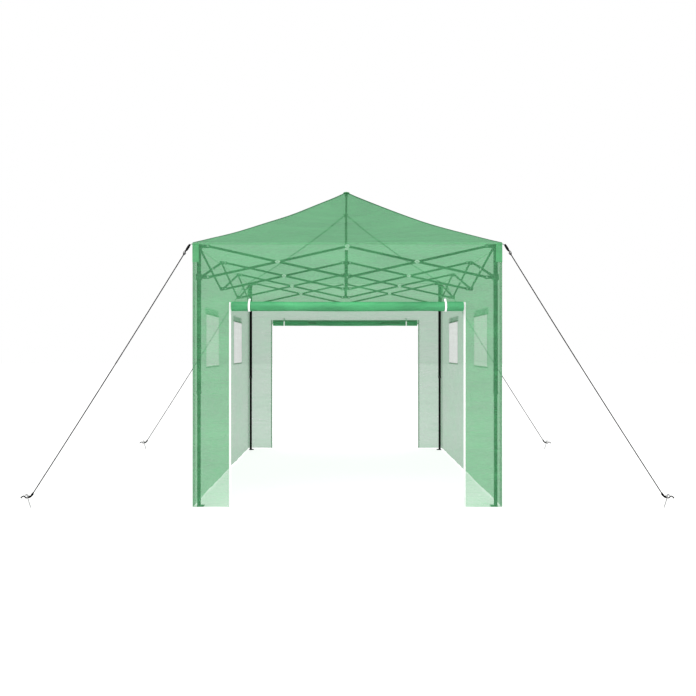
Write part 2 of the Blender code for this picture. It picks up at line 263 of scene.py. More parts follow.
def bare_steel(name, colour=(0.60, 0.61, 0.62), rough=0.28):
    """Zinc-plated steel with drawing lines and dull patches."""
    n = Nodes(name)
    place = n.place()
    lines = n.noise(n.stretch(place, (1.0, 1.0, 0.08)), 700.0, 2.0)
    patch = n.noise(place, 60.0, 4.0, 0.65)
    dull = tuple(c * 0.7 for c in colour)
    tint = n.blend(n.span(patch, 0.35, 0.7, 0.0, 1.0), (*colour, 1), (*dull, 1))
    finish = n.span(patch, 0.3, 0.7, rough, rough + 0.22)
    return n.skin(tint, finish, n.bump(lines, 0.2, 0.0003), metallic=1.0)


def braid(name):
    """Black braided cord."""
    n = Nodes(name)
    place = n.place()
    strands = n.add("TexWave", {"Vector": place, "Scale": 190.0, "Distortion": 1.2},
                    wave_type="BANDS", bands_direction="DIAGONAL")
    cross = n.add("TexWave", {"Vector": n.stretch(place, (-1.0, 1.0, 1.0)), "Scale": 190.0,
                              "Distortion": 1.2}, wave_type="BANDS", bands_direction="DIAGONAL")
    weave = n.times(strands.outputs["Fac"], cross.outputs["Fac"])
    # Painted shade: the cord is darker in the grooves between the strands and lighter on their tops, from
    # the same weave that raises them
    tint = n.blend(weave, (0.001, 0.001, 0.001, 1), (0.006, 0.006, 0.006, 1))
    fuzz = n.noise(place, 800.0, 2.0)
    return n.skin(tint, n.span(fuzz, 0.3, 0.7, 0.7, 0.95), n.bump(weave, 0.8, 0.0006), 0.05)


def zip_tape(name):
    """White zip: a tape with a row of teeth down its middle. Across is u, along is v."""
    n = Nodes(name)
    uv = cloth_uv(n)
    parts = n.add("SeparateXYZ", {0: uv})
    middle = n.maths("LESS_THAN", n.maths("ABSOLUTE", parts.outputs[0]), 0.0035)
    tooth = n.maths("GREATER_THAN", n.maths("FRACT", n.maths("DIVIDE", parts.outputs[1], 0.0035)), 0.45)
    teeth = n.times(middle, tooth)
    fibre = n.noise(n.stretch(uv, (1.0, 6.0, 1.0)), 260.0, 2.0)
    tint = n.blend(n.span(fibre, 0.3, 0.7, 0.0, 1.0), (0.80, 0.83, 0.80, 1), (0.92, 0.93, 0.92, 1))
    tint = n.blend(teeth, tint, (0.97, 0.97, 0.96, 1))
    height = n.total(n.times(teeth, 4.0), fibre)
    return n.skin(tint, n.span(fibre, 0.3, 0.7, 0.45, 0.7), n.bump(height, 0.7, 0.0008))


WALL = woven_sheet("woven_wall", (0.112, 0.475, 0.195), 0.51)
# The side walls and window borders take a darker, more opaque copy of the wall cloth: painted shade for the
# same cloth seen at a slant
SIDE_WALL = woven_sheet("woven_side_wall", (0.125, 0.32, 0.175), 0.67)
FLAP = woven_sheet("woven_flap", (0.22, 0.42, 0.29), 0.34)
REAR_WALL = woven_sheet("woven_rear_wall", (0.125, 0.35, 0.185), 0.60)
# The roof takes a darker, more opaque copy of the wall cloth: painted shade for the same cloth seen at a
# slant
ROOF = woven_sheet("woven_roof", (0.085, 0.305, 0.132), 0.64, (0.85, 1.0, 0.92))
ROLLED = woven_sheet("woven_rolled", (0.104, 0.54, 0.232), 0.95, mottle=0.22)
PATCH = woven_sheet("woven_patch", (0.130, 0.51, 0.22), 0.88)
BINDING = woven_sheet("woven_binding", (0.13, 0.38, 0.19), 0.42)
SEAM = woven_sheet("woven_seam", (0.045, 0.19, 0.085), 0.93)
MESH = woven_sheet("window_mesh", (0.42, 0.46, 0.42), 0.52, pitch=0.006)
RIBBON = solid_cloth("white_ribbon", (0.86, 0.88, 0.86))
WEBBING = solid_cloth("black_webbing", (0.003, 0.003, 0.003), gloss=0.06)
ZIP = zip_tape("white_zip")
STEEL = coated_steel("powder_coat")
BAR_STEEL = coated_steel("powder_coat_bars", (0.007, 0.010, 0.008))
PLASTIC = moulded("dark_plastic", (0.022, 0.026, 0.023))
WHITE_PLASTIC = moulded("white_plastic", (0.86, 0.88, 0.86), 0.36)
BLACK_PLASTIC = moulded("black_plastic", (0.012, 0.012, 0.012), 0.38)
ZINC = bare_steel("zinc_steel")
PEG_STEEL = bare_steel("peg_steel", (0.40, 0.40, 0.40), 0.34)
CORD = braid("black_cord")


# ---- mesh helpers -------------------------------------------------------------------------
SHARP_FROM = math.radians(38)       # edges that turn more than this are drawn sharp


def piece(name, points, faces, look, uv=None):
    """A mesh piece from points and faces. uv gives each point its place on the flat cloth."""
    mesh = bpy.data.meshes.new(name)
    mesh.from_pydata([tuple(p) for p in points], [], faces)
    layer = mesh.uv_layers.new(name="cloth")
    flat = uv if uv is not None else [(p[0], p[1]) for p in points]
    for loop in mesh.loops:
        layer.data[loop.index].uv = flat[loop.vertex_index][:2]
    mesh.shade_smooth()
    mesh.set_sharp_from_angle(angle=SHARP_FROM)
    mesh.materials.append(look)
    made = bpy.data.objects.new(name, mesh)
    bpy.context.scene.collection.objects.link(made)
    return made


def grid_faces(rows, columns, closed=False):
    """Quads over points laid row by row. closed joins the last column to the first."""
    last = columns if closed else columns - 1
    return [(r * columns + c, r * columns + (c + 1) % columns,
             (r + 1) * columns + (c + 1) % columns, (r + 1) * columns + c)
            for r in range(rows - 1) for c in range(last)]


def grid_piece(name, rows, look, closed=False):
    """A piece from rows of (point, place on the flat cloth) pairs."""
    points, flat = zip(*[cell for row in rows for cell in row])
    return piece(name, points, grid_faces(len(rows), len(rows[0]), closed), look, flat)


def spread(low, high, step, stops=()):
    """Even places from low to high at most step apart, with every stop among them."""
    ends = sorted({low, high, *stops})
    found = [low]
    for a, b in zip(ends, ends[1:]):
        count = max(1, math.ceil((b - a) / step - 1e-6))
        found += [a + (b - a) * (i + 1) / count for i in range(count)]
    return found


def circle(centre, across, other, radius, sides):
    """Points evenly round a circle in the plane of across and other."""
    turns = [2 * math.pi * k / sides for k in range(sides)]
    return [centre + (across * math.cos(a) + other * math.sin(a)) * radius for a in turns]


def capped(rings, sides):
    """Faces of a closed shape made of rings of points, with flat ends."""
    faces = grid_faces(rings, sides, closed=True)
    faces.append(tuple(reversed(range(sides))))
    faces.append(tuple((rings - 1) * sides + k for k in range(sides)))
    return faces


def tube(route, radius, sides=10):
    """Points and faces of a closed tube along a route. radius is a number or one per point."""
    count = len(route)
    radii = [radius] * count if isinstance(radius, (int, float)) else list(radius)
    lines = [(route[min(i + 1, count - 1)] - route[max(i - 1, 0)]).normalized() for i in range(count)]
    across = lines[0].orthogonal().normalized()
    points = []
    for place, line, size in zip(route, lines, radii):
        across = (across - line * across.dot(line)).normalized()
        points += circle(place, across, line.cross(across), size, sides)
    return points, capped(count, sides)


def turned(profile, centre, axis, sides=20):
    """Points and faces of a turned shape. profile is (radius, height along axis) points."""
    line = Vector(axis).normalized()
    across = line.orthogonal().normalized()
    points = []
    for radius, height in profile:
        points += circle(Vector(centre) + line * height, across, line.cross(across), radius, sides)
    return points, capped(len(profile), sides)


def together(parts):
    """Several (points, faces) as one."""
    points, faces = [], []
    for some, found in parts:
        start = len(points)
        points += [Vector(p) for p in some]
        faces += [tuple(start + i for i in f) for f in found]
    return points, faces


def mend(made):
    """Turns the faces of a closed piece outward."""
    work = bmesh.new()
    work.from_mesh(made.data)
    bmesh.ops.recalc_face_normals(work, faces=work.faces)
    work.to_mesh(made.data)
    work.free()
    return made


def closed_piece(name, parts, look):
    """One piece of several closed (points, faces) parts."""
    return mend(piece(name, *together(parts), look))


def fitting(name, parts, look, body):
    """A closed piece that rides a body of the frame."""
    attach(closed_piece(name, parts, look), body)


def band(points, width_line, thick_line):
    """A flat strap along points: width_line and thick_line are its half width and half thickness
    vectors, the same all along or one per point."""
    many = isinstance(width_line, list)
    out = []
    for i, p in enumerate(points):
        w = width_line[i] if many else width_line
        t = thick_line[i] if isinstance(thick_line, list) else thick_line
        out += [p - w - t, p + w - t, p + w + t, p - w + t]
    return out, capped(len(points), 4)


def plan(points):
    """Flat cloth places straight above points."""
    return [(p.x, p.y) for p in points]


# ---- cover: walls -------------------------------------------------------------------------
def ripple(along, height, phase):
    """How far a wall sheet stands off its plane: slack folds that grow from the eave to the hem."""
    slack = min(1.0, max(0.0, (EAVE_Z - height) / (EAVE_Z - HEM_Z)))
    wave = math.sin(5.1 * along + phase) + 0.6 * math.sin(11.7 * along - 2.3 * phase + 1.4 * height)
    pull = 0.5 * math.sin(3.0 * height + phase) * math.sin(1.9 * along + phase)
    return 0.0028 * slack * wave + 0.0018 * pull


def wall_point(wall, along, height, out=0.0):
    """A point on a wall: along is x on an end wall and y on a side wall. out is off its outer face."""
    kind, side = wall
    push = ripple(along, height, 1.3 + side + (0.9 if kind == "side" else 0.0))
    fade = min(1.0, (COVER_X if kind == "end" else COVER_Y) - abs(along), EAVE_Z - height + 0.02)
    low = max(0.0, 1 - (height - HEM_Z) / 0.09)
    wobble = math.sin(4.3 * along + side) + 0.7 * math.sin(11.9 * along + 2.1) + 0.5 * math.sin(23.0 * along)
    lift = HEM_LIFT[kind] * low * wobble
    push = push * max(0.0, min(1.0, fade / 0.15)) + out
    if kind == "end":
        return Vector((along, side * (COVER_Y - HALF_SHEET + push), height + max(0.0, lift)))
    return Vector((side * (COVER_X - HALF_SHEET + push), along, height + max(0.0, lift)))


def wall_sheet(name, wall, span, low, high, look, holes=(), out=0.0, step=0.045):
    """A wall sheet of one skin over span (low, high) along, less its rectangular holes."""
    stops_u = [edge for hole in holes for edge in hole[:2]]
    stops_v = [edge for hole in holes for edge in hole[2:]]
    us = spread(span[0], span[1], step, [s for s in stops_u if span[0] < s < span[1]])
    vs = spread(low, high, step, [s for s in stops_v if low < s < high])
    used, points, flat, faces = {}, [], [], []

    def index(i, j):
        if (i, j) not in used:
            used[i, j] = len(points)
            points.append(wall_point(wall, us[i], vs[j], out))
            flat.append((us[i], vs[j]))
        return used[i, j]

    for i in range(len(us) - 1):
        for j in range(len(vs) - 1):
            u, v = (us[i] + us[i + 1]) / 2, (vs[j] + vs[j + 1]) / 2
            if any(a < u < b and c < v < d for a, b, c, d in holes):
                continue
            faces.append((index(i, j), index(i + 1, j), index(i + 1, j + 1), index(i, j + 1)))
    return piece(name, points, faces, look, flat)


def fold_wall(made, wall, end):
    """Hangs a wall piece on its own corner leg, which carries it as the frame folds, and gives it a mesh of
    its own.
    """
    kind, side = wall
    if kind == "end":
        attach(made, f"leg_outer_{ENDS[side]}_left")
        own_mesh(made)
    else:
        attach(made, f"leg_outer_{end}_{SIDES[side]}")
        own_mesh(made)
    return made


def border(name, wall, hole, width, look):
    """A sewn-on frame round a rectangular hole of the wall, as four mitred strips."""
    left, right, low, high = hole
    points, flat, faces = [], [], []
    corners = [(left, low), (right, low), (right, high), (left, high)]
    signs = [(-1, -1), (1, -1), (1, 1), (-1, 1)]
    for k in range(4):
        (u0, v0), (u1, v1) = corners[k], corners[(k + 1) % 4]
        (a0, b0), (a1, b1) = signs[k], signs[(k + 1) % 4]
        start = len(points)
        count = 14
        for i in range(count + 1):
            s = i / count
            for inner in (0.0, width):
                u = u0 + (u1 - u0) * s + inner * (a0 + (a1 - a0) * s)
                v = v0 + (v1 - v0) * s + inner * (b0 + (b1 - b0) * s)
                points.append(wall_point(wall, u, v, SEWN_ON))
                flat.append((u, v))
        faces += [(start + a, start + b, start + c, start + d)
                  for a, b, c, d in grid_faces(count + 1, 2)]
    return piece(name, points, faces, look, flat)


def spiral_roll(name, wall, look):
    """The door sheet rolled up tight on itself under the header. Also gives its unrolled length."""
    side = wall[1]
    inner, outer = ROLL_CORE, ROLL_RADIUS - 0.001
    half = ROLL_HALF - 0.004
    around = ROLL_TURNS * 22
    length = [0.0]
    for k in range(1, around + 1):
        radius = inner + (outer - inner) * (k - 0.5) / around
        length.append(length[-1] + radius * 2 * math.pi * ROLL_TURNS / around)
    us = spread(-half, half, half / 20)
    points, flat = [], []
    for u in us:
        swell = 1.0 + 0.035 * math.sin(7.3 * u + 1.0) + 0.02 * math.sin(19.0 * u)
        drop = ROLL_SAG * math.cos(2 * math.pi * u / (half * 1.7))
        for k in range(around + 1):
            share = k / around
            angle = 2 * math.pi * ROLL_TURNS * share - math.pi / 2
            radius = (inner + (outer - inner) * share) * min(1.0, swell)
            out = side * (COVER_Y + ROLL_OUT + radius * math.cos(angle))
            points.append(Vector((u, out, ROLL_Z - drop + radius * math.sin(angle))))
            flat.append((u, length[k]))
    made = piece(name, points, grid_faces(len(us), around + 1), look, flat)
    return made, length[-1]


def ribbon_loop(centre, radius, width, wall, look, name):
    """A tie: a band from the wall over a roll and all the way round it."""
    kind, side = wall
    out_dir = Vector((0, side, 0)) if kind == "end" else Vector((side, 0, 0))
    along = Vector((1, 0, 0)) if kind == "end" else Vector((0, 1, 0))
    up = Vector((0, 0, 1))
    turns = [2 * math.pi * k / 28 for k in range(29)]
    ring = [centre + out_dir * radius * math.cos(a) + up * radius * math.sin(a) for a in turns]
    thick = [(out_dir * math.cos(a) + up * math.sin(a)) * 0.0006 for a in turns]
    parts = [band(ring, along * (width / 2), thick)]
    top = centre + up * (radius + 0.022) - out_dir * radius * 0.55
    lead = [top.lerp(centre + up * radius * 0.84 + out_dir * radius * 0.30, k / 6) for k in range(7)]
    parts.append(band(lead, along * (width / 2), out_dir * 0.0007))
    points, faces = together(parts)
    flat = [(p.dot(along), p.z) for p in points]
    return mend(piece(name, points, faces, look, flat))


def flat_flap(name, wall, left, right, low, high):
    """A window's flap rolled up flat: one flattened turn of sheet with a soft round edge."""
    count = 16

    def cell(u, k):
        a = 2 * math.pi * k / count
        rise = math.copysign(abs(math.sin(a)) ** 0.6, math.sin(a))
        height = (low + high) / 2 + (high - low) / 2 * rise
        thick = 0.0045 * (1 + 0.25 * math.sin(14 * u + 2 * a))
        return wall_point(wall, u, height, 0.0068 + thick * math.cos(a)), (u, (high - low) * k / count * 2)

    rows = [[cell(u, k) for k in range(count)] for u in spread(left, right, 0.045)]
    return grid_piece(name, rows, FLAP, closed=True)


def strap_over(name, wall, u, low, high, width):
    """A ribbon sewn to the wall under a flap and closed over its front."""
    outs = (0.0012, 0.0030, 0.0122, 0.0140, 0.0140, 0.0122, 0.0030, 0.0012)
    shares = (0.0, 0.04, 0.10, 0.3, 0.7, 0.90, 0.96, 1.0)
    rows = [[(wall_point(wall, u + o, low + (high - low) * share, out), (o, (high - low) * share))
             for o in (-width / 2, width / 2)] for out, share in zip(outs, shares)]
    return grid_piece(name, rows, RIBBON)


def strip(name, wall, u, low, high, width, look, out, fold):
    """A narrow upright strip on a wall, such as a zip. Its flat u is 0 down its middle."""
    profile = ((-width / 2, 0.0), (-width * 0.18, 0.0016), (width * 0.18, 0.0016), (width / 2, 0.0))
    rows = [[(wall_point(wall, u + o, v, out + proud), (o, v)) for o, proud in profile]
            for v in spread(low, high, 0.045)]
    return fold_wall(grid_piece(name, rows, look), wall, fold)


def door_roll(name, wall):
    """The rolled door of one end wall, with its two ties."""
    end = wall[1]
    roll, length = spiral_roll(f"{name}_door_roll", wall, ROLLED)
    fold_wall(roll, wall, name)
    for side, across in SIDES.items():
        centre = Vector((side * TIE_X, end * (COVER_Y + ROLL_OUT), ROLL_Z))
        tie = ribbon_loop(centre, ROLL_RADIUS + 0.0012, 0.015, wall, RIBBON, f"{name}_door_tie_{across}")
        fold_wall(tie, wall, name)


def end_walls():
    """Each end wall with its doorway, the zips down both edges of it and the rolled door."""
    for end, name in ENDS.items():
        wall = ("end", end)
        hem = HEM_Z if end < 0 else REAR_HEM_Z
        look = WALL if end < 0 else REAR_WALL
        doorway = (-DOOR_HALF, DOOR_HALF, -1.0, DOOR_TOP)
        made = wall_sheet(f"{name}_wall", wall, (-COVER_X, COVER_X), hem, WALL_TOP, look, [doorway])
        if end < 0:
            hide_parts("cover_walls")
        fold_wall(made, wall, name)
        for side, across in SIDES.items():
            zip_u = side * (DOOR_HALF + 0.004)
            strip(f"{name}_zip_{across}", wall, zip_u, hem, ZIP_TOP, 0.015, ZIP, SEWN_ON, name)
        door_roll(name, wall)


def window(name, end, wall, hole):
    """A mesh window in a side wall, with its sewn border, its rolled flap and the flap's ties."""
    left, right, low, high = hole
    pane = wall_sheet(f"{name}_window_{end}", wall, (left - PANE_LAP, right + PANE_LAP), low - PANE_LAP,
                      high + PANE_LAP, MESH, out=-0.0010)
    edge = border(f"{name}_window_edge_{end}", wall, hole, 0.014, SIDE_WALL)
    flap = flat_flap(f"{name}_window_flap_{end}", wall, left - FLAP_PAST, right + FLAP_PAST,
                     high + 0.004, high + FLAP_HIGH)
    made = [pane, edge, flap]
    for k, shift in enumerate((-FLAP_TIE, FLAP_TIE)):
        made.append(strap_over(f"{name}_flap_tie_{end}_{k}", wall, (left + right) / 2 + shift,
                               high - 0.004, high + FLAP_HIGH + 0.012, 0.011))
    for part in made:
        fold_wall(part, wall, "front")


def side_walls():
    """Each side wall with its two windows."""
    for side, across in SIDES.items():
        wall = ("side", side)
        holes = [(s * WINDOW_Y - WINDOW_HALF, s * WINDOW_Y + WINDOW_HALF, WINDOW_LOW, WINDOW_HIGH)
                 for s in ENDS]
        made = wall_sheet(f"{across}_wall", wall, (-COVER_Y, COVER_Y), HEM_Z, WALL_TOP, SIDE_WALL, holes)
        fold_wall(made, wall, "front")
        for hole, end in zip(holes, ENDS.values()):
            window(across, end, wall, hole)


def corner_strip(name, side, end, low, high, reach, look, out):
    """A strip folded round a corner of the cover, reach wide on both faces, with a soft edge."""
    soft = 0.0012
    bends = ((reach, 0.0, -reach), (0.012, 0.0, -0.012), (soft, soft, 0.0), (0.0, 0.012, 0.012),
             (0.0, reach, reach))
    rows = [[(Vector((side * (COVER_X + out - x), end * (COVER_Y + out - y), v)), (u, v))
             for x, y, u in bends] for v in spread(low, high, 0.05)]
    return grid_piece(name, rows, look)


def corners():
    """The bindings down the cover's four corners and the patches at their tops."""
    top = EAVE_Z - 0.006
    for name, side, end in CORNERS:
        edge = corner_strip(f"corner_binding_{name}", side, end, HEM_Z + 0.002, top, 0.022, BINDING,
                            SEWN_ON)
        patch = corner_strip(f"corner_patch_{name}", side, end, PATCH_LOW, top, 0.052, PATCH, 2 * SEWN_ON)
        for made in (edge, patch):
            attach(made, f"leg_outer_{name}")


# ---- cover: roof --------------------------------------------------------------------------
def roof_z(x, y):
    """Height of the roof's outer face over a point of the ground plan, with its slack."""
    side_depth = (COVER_X - abs(x)) / COVER_X
    end_depth = (COVER_Y - abs(y)) / (COVER_Y - RIDGE_HALF)
    depth = min(side_depth, end_depth)
    if side_depth <= end_depth:
        across = y / (RIDGE_HALF + (COVER_Y - RIDGE_HALF) * (1 - depth))
    else:
        across = x / max(1e-6, COVER_X * (1 - depth))
    dip = depth * (1 - depth)
    height = EAVE_Z + (RIDGE_Z - EAVE_Z) * depth - HIP_SAG * dip - PANEL_SAG * dip * (1 - across**2) * 4
    fan = 0.0
    for end in ENDS:
        away = math.hypot(x, y - end * RIDGE_HALF)
        turn = math.atan2(y - end * RIDGE_HALF, x)
        fan += 0.0030 * math.sin(13 * turn + end) * math.exp(-((away - 0.26) / 0.20) ** 2)
    hang = 0.0024 * math.sin(7.0 * (x + y)) * math.sin(5.0 * (x - y) + 1.0)
    calm = min(1.0, 6 * depth) * min(1.0, 8 * (1 - depth))
    return height + (fan + hang) * calm


ROOF_CELLS = 24                     # cells from the eave to the ridge, so that hips run on diagonals


def roof_part(name, low, high, body):
    """The part of the roof sheet between two x places. Cells on a hip are split along it."""
    xs = [COVER_X * i / ROOF_CELLS for i in range(-ROOF_CELLS, ROOF_CELLS + 1)]
    xs = [x for x in xs if low - 1e-6 <= x <= high + 1e-6]
    slope = [RIDGE_HALF + (COVER_Y - RIDGE_HALF) * i / ROOF_CELLS for i in range(ROOF_CELLS + 1)]
    middle = spread(-RIDGE_HALF, RIDGE_HALF, 0.05)[1:-1]
    ys = [-y for y in reversed(slope)] + middle + slope
    points = [Vector((x, y, roof_z(x, y))) for y in ys for x in xs]
    normals = []
    for y in ys:
        for x in xs:
            dx = (roof_z(x + 0.01, y) - roof_z(x - 0.01, y)) / 0.02
            dy = (roof_z(x, y + 0.01) - roof_z(x, y - 0.01)) / 0.02
            normals.append(Vector((-dx, -dy, 1)).normalized())
    faces = []
    for a, b, c, d in grid_faces(len(ys), len(xs)):
        middle_x = (points[a].x + points[c].x) / 2
        middle_y = (points[a].y + points[c].y) / 2
        if abs(middle_y) > RIDGE_HALF and middle_x * middle_y < 0:
            faces += [(a, b, d), (b, c, d)]
        elif abs(middle_y) > RIDGE_HALF:
            faces += [(a, b, c), (a, c, d)]
        else:
            faces.append((a, b, c, d))
    made = piece(name, points, faces, ROOF, plan(points))
    made.data.normals_split_custom_set_from_vertices(normals)
    return fold_roof(made, body)


def fold_roof(made, body):
    """Hangs a roof piece on a body of the frame, which carries it as the frame folds, and gives it a mesh of
    its own.
    """
    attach(made, body)
    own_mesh(made)
    return made


def roof_seam(name, start, finish, body, width=0.016):
    """A sewn seam tape that lies on the roof from one plan point to another."""
    start, finish = Vector(start), Vector(finish)
    line = (finish - start).normalized()
    across = Vector((-line.y, line.x))
    count = max(4, round((finish - start).length / 0.03))
    profile = ((-0.5, 0.0008), (-0.3, 0.0022), (0.0, 0.0030), (0.3, 0.0022), (0.5, 0.0008))

    def cell(i, share, proud):
        q = start.lerp(finish, i / count) + across * width * share
        x = max(-COVER_X, min(COVER_X, q.x))
        y = max(-COVER_Y, min(COVER_Y, q.y))
        return Vector((x, y, roof_z(x, y) + proud)), (width * share, i * 0.03)

    rows = [[cell(i, share, proud) for share, proud in profile] for i in range(count + 1)]
    return fold_roof(grid_piece(name, rows, SEAM), body)


def eave_band(name, corner_a, corner_b, drop=0.014):
    """The hem along one eave, from corner_a to corner_b."""
    a, b = Vector(corner_a), Vector(corner_b)
    count = round((b - a).length / 0.05)
    out = Vector((0, math.copysign(1, a.y), 0)) if a.y == b.y else Vector((math.copysign(1, a.x), 0, 0))
    up = Vector((0, 0, EAVE_Z + 0.001))
    profile = ((0.0, 0.0), (0.004, 0.0030), (drop, 0.0028))
    rows = [[(a.lerp(b, i / count) + up - Vector((0, 0, low)) + out * off, (i * 0.05, low))
             for low, off in profile] for i in range(count + 1)]
    return grid_piece(name, rows, WALL)


def peak_patches():
    """The round patches over the two peak posts."""
    for end, along in ENDS.items():
        y = end * RIDGE_HALF
        dome = [(0.0005, 0.0035), (0.010, 0.0025), (0.022, -0.0005), (0.032, -0.0060)]
        points, faces = turned(dome, (0, y, RIDGE_Z), (0, 0, 1), 24)
        made = mend(piece(f"peak_patch_{along}", points, faces, PATCH, plan(points)))
        fold_roof(made, "peak_post_front")


def roof():
    """The roof sheet in three parts, with its hip and ridge seams."""
    left_body, right_body = "hub_upper_mid_front_left", "hub_upper_mid_front_right"
    centre = roof_part("roof_sheet_centre", -THIRD, THIRD, "peak_post_front")
    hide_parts("cover_roof")
    roof_part("roof_sheet_left", -COVER_X, -THIRD, left_body)
    roof_part("roof_sheet_right", THIRD, COVER_X, right_body)
    half_y = (COVER_Y + RIDGE_HALF) / 2
    for name, side, end in CORNERS:
        corner = (side * COVER_X, end * COVER_Y)
        cut = (side * THIRD, end * half_y)
        roof_seam(f"hip_seam_low_{name}", corner, cut, left_body if side < 0 else right_body)
        roof_seam(f"hip_seam_high_{name}", cut, (0, end * RIDGE_HALF), "peak_post_front")
    roof_seam("ridge_seam", (0, -RIDGE_HALF), (0, RIDGE_HALF), "peak_post_front")


def eave_bands():
    """The hems where the roof meets the four walls."""
    for end, along in ENDS.items():
        y = end * (COVER_Y + HALF_SHEET)
        made = eave_band(f"eave_band_{along}", (-COVER_X, y, 0), (COVER_X, y, 0))
        fold_wall(made, ("end", end), along)
    for side, across in SIDES.items():
        x = side * (COVER_X + HALF_SHEET)
        made = eave_band(f"eave_band_{across}", (x, -COVER_Y, 0), (x, COVER_Y, 0))
        fold_wall(made, ("side", side), "front")


# ---- frame details ------------------------------------------------------------------------
BOLT_PROFILE = [(0.0035, -0.0150), (0.0075, -0.0140), (0.0082, -0.0125), (0.0082, -0.0112),
                (0.0030, -0.0112), (0.0030, 0.0112), (0.0090, 0.0112), (0.0090, 0.0125),
                (0.0064, 0.0130), (0.0064, 0.0160), (0.0040, 0.0172)]
SPACER_PROFILE = [(0.0040, 0.0000), (0.0125, 0.0002), (0.0135, 0.0012), (0.0135, 0.0026), (0.0118, 0.0038),
                  (0.0078, 0.0040), (0.0070, 0.0030), (0.0040, 0.0030)]
BAR_FACE = 0.0110                   # outer face of a crossing pair, from the truss plane
SLOPES = (("falling", TOP_Z, LOW_Z), ("rising", LOW_Z, TOP_Z))
SPACER_WIDE = 1.55                  # a spacer is an oval: these stretch the round profile
SPACER_HIGH = 0.86


def bar_places():
    """Every scissor bar: its name, first and last pivots, and which way its truss faces."""
    stations = {"front": -LEG_Y, "mid_front": -RIDGE_HALF, "mid_rear": RIDGE_HALF, "rear": LEG_Y}
    for truss, y in stations.items():
        ends = truss in ("front", "rear")
        for side, unit in SIDES.items():
            outer = LEG_X - (2 * ARM if ends else ARM)
            inner = 0.0 if ends else ARM
            left, right = (-outer, -inner) if side < 0 else (inner, outer)
            for kind, start_z, end_z in SLOPES:
                yield (f"bar_{truss}_{unit}_{kind}", Vector((left, y, start_z)),
                       Vector((right, y, end_z)), Vector((0, 1, 0)), kind)
    for side, across in SIDES.items():
        for index, unit in enumerate(("front", "middle", "rear")):
            start = -LEG_Y + index * LEG_X + ARM
            finish = -LEG_Y + (index + 1) * LEG_X - ARM
            for kind, start_z, end_z in SLOPES:
                yield (f"bar_{across}_side_{unit}_{kind}", Vector((side * LEG_X, start, start_z)),
                       Vector((side * LEG_X, finish, end_z)), Vector((1, 0, 0)), kind)


def oval(points, middle, normal):
    """A spacer's points stretched about middle, along the truss and upward."""
    along = normal.cross(Vector((0, 0, 1)))
    reaches = [p - middle for p in points]
    return [middle + normal * r.dot(normal) + along * r.dot(along) * SPACER_WIDE
            + Vector((0, 0, r.z * SPACER_HIGH)) for r in reaches]


def bar_fittings():
    """Each bar's end bolts, with one bolt where two bars share a pivot at the middle of a truss.

    The falling bar also has the crossing's bolt and its plastic spacers.
    """
    for name, first, last, normal, kind in bar_places():
        middle = (first + last) / 2
        pivots = [last] if abs(first.x) < 0.001 else [first, last]
        if kind == "falling":
            pivots.append(middle)
        bolts = [turned(BOLT_PROFILE, p, normal, 10) for p in pivots]
        fitting(f"bolts_{name}", bolts, ZINC, name)
        if kind == "falling":
            caps = [turned(SPACER_PROFILE, middle + normal * s * BAR_FACE, normal * s, 20) for s in (-1, 1)]
            caps = [(oval(points, middle, normal), faces) for points, faces in caps]
            fitting(f"spacers_{name}", caps, WHITE_PLASTIC, name)


def plate_pair(y, z):
    """Parts of an oval plate on each outer face of the bars."""
    outline = [(0.020 * math.cos(a), 0.015 * math.sin(a)) for a in (2 * math.pi * k / 24 for k in range(24))]
    parts = []
    for s in (-1, 1):
        near = [Vector((u, y + s * 0.0114, z + v)) for u, v in outline]
        far = [Vector((u * 0.86, y + s * 0.0146, z + v * 0.86)) for u, v in outline]
        parts.append((near + far, capped(2, 24)))
    return parts


def centre_plates():
    """Plates at the middle of the end trusses, where four bars are pinned together."""
    for end, along in ENDS.items():
        for level, z, bar, look in (("upper", TOP_Z, "rising", WHITE_PLASTIC),
                                    ("lower", LOW_Z, "falling", PLASTIC)):
            fitting(f"centre_plate_{level}_{along}", plate_pair(end * LEG_Y, z), look,
                    f"bar_{along}_left_{bar}")


BUTTON = [(0.0005, 0.0066), (0.0026, 0.0060), (0.0040, 0.0036), (0.0042, 0.0), (0.0005, -0.001)]
WASHER = [(0.0044, 0.0), (0.0085, 0.0), (0.0085, 0.0010), (0.0060, 0.0014), (0.0044, 0.0010)]
EYELET = [(0.0048, 0.0), (0.0075, 0.0), (0.0075, 0.0008), (0.0048, 0.0008)]
HOLE_RIM = [(0.0038, 0.0), (0.0052, 0.0), (0.0052, 0.0006), (0.0038, 0.0006)]
SLIDER_BUTTON = [(r * 1.5, h * 1.4) for r, h in BUTTON]
RING_Z = 0.9075                     # the ring round the outer tube's lower end
RING_FACE = 0.0171                  # outer faces, from the leg's middle line
SLIDER_FACE = 0.0222
INNER_FACE = 0.0126
HOLE_HEIGHTS = (0.30, 0.46, 0.62, 0.78)
FOOT_HOLE = (0.011, 0.031, 0.0061)  # inward, toward the middle of the side, and up


def leg_ring(x, y):
    """Points of the ring round an outer tube's lower end: four levels of eight."""
    cut = 0.86
    outline = ((-1, -cut), (-cut, -1), (cut, -1), (1, -cut), (1, cut), (cut, 1), (-cut, 1), (-1, cut))
    levels = ((-0.0145, 0.0159), (-0.0105, 0.0172), (0.0105, 0.0172), (0.0145, 0.0159))
    return [Vector((x + a * size, y + b * size, RING_Z + rise)) for rise, size in levels for a, b in outline]


